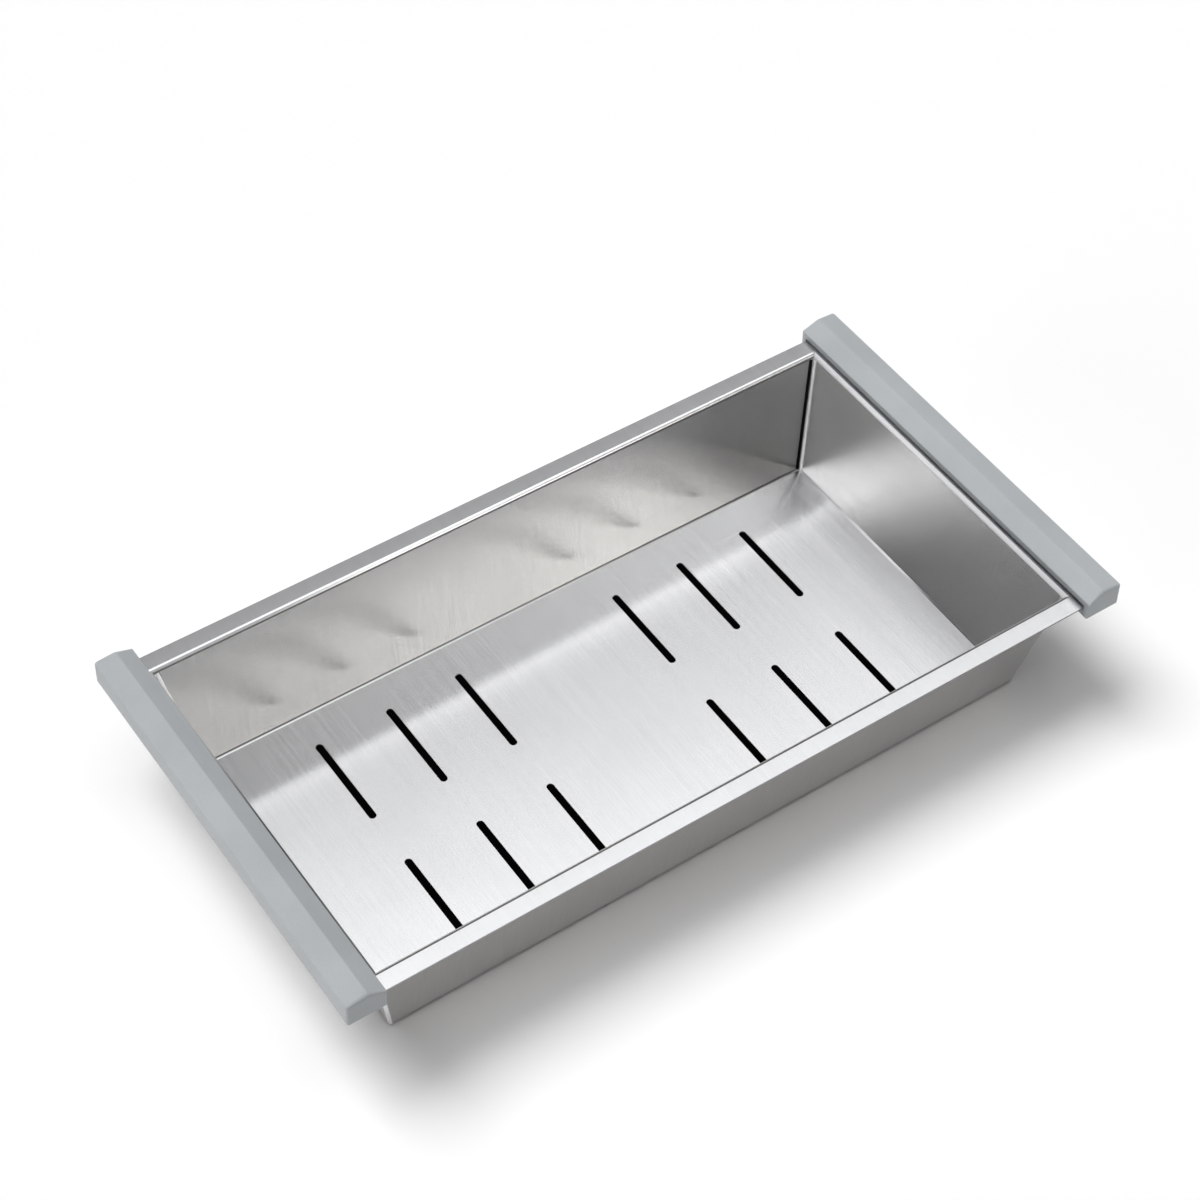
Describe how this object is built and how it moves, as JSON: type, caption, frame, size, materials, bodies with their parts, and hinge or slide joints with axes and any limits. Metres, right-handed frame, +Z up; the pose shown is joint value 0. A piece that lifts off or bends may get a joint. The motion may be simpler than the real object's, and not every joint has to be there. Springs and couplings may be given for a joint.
{
  "type": "over-sink drain tray",
  "caption": "Folded stainless steel drain tray with sloping walls, a slotted floor and a grey plastic handle on each end flange, made to hang across a kitchen sink bowl.",
  "frame": {"origin": "middle of the underside of the tray's floor, which is the lowest face", "axes": "+X along the tray from the left handle to the right one, +Y to the rear long side, +Z up out of the tray's mouth"},
  "size_m": [0.435, 0.228, 0.0783],
  "materials": {
    "brushed_stainless": "brushed along the length",
    "ground_weld": "ground bright",
    "handle_plastic": "fine moulded grain, satin",
    "screw_steel": "plain turned"
  },
  "bodies": {
    "root": {"tray_pan": "brushed_stainless", "corner_welds": "ground_weld", "left_handle_cover": "handle_plastic", "left_handle_base": "handle_plastic", "left_handle_screws": "screw_steel", "right_handle_cover": "handle_plastic", "right_handle_base": "handle_plastic", "right_handle_screws": "screw_steel"}
  },
  "joints": []
}
